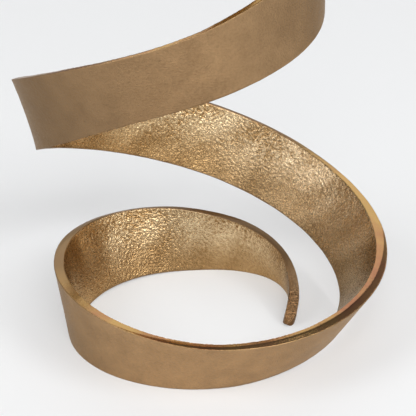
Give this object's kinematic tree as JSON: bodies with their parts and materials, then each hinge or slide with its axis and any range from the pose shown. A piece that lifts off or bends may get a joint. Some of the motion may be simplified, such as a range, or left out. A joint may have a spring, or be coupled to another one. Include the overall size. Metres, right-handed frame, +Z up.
{
  "type": "spiral candle holder",
  "caption": "Table candle holder: a cast brass ribbon coils up from the floor to a seat with a drip pan and a cup for a taper candle.",
  "frame": {"origin": "on the floor, on the axis of the candle, at the middle of the holder's footprint", "axes": "+Z up along the candle; +X towards the tail of the ribbon, where the coil starts on the floor"},
  "size_m": [0.1484, 0.1505, 0.2282],
  "materials": {
    "cast_brass": "sand-cast inside, satin outside, polished edge",
    "turned_brass": "turned and satin polished, lacquered",
    "steel": "zinc plated"
  },
  "bodies": {
    "root": {"spiral_ribbon": "cast_brass", "drip_pan": "turned_brass", "candle_cup": "turned_brass", "cup_screw": "steel", "lock_washer": "steel"}
  },
  "joints": []
}
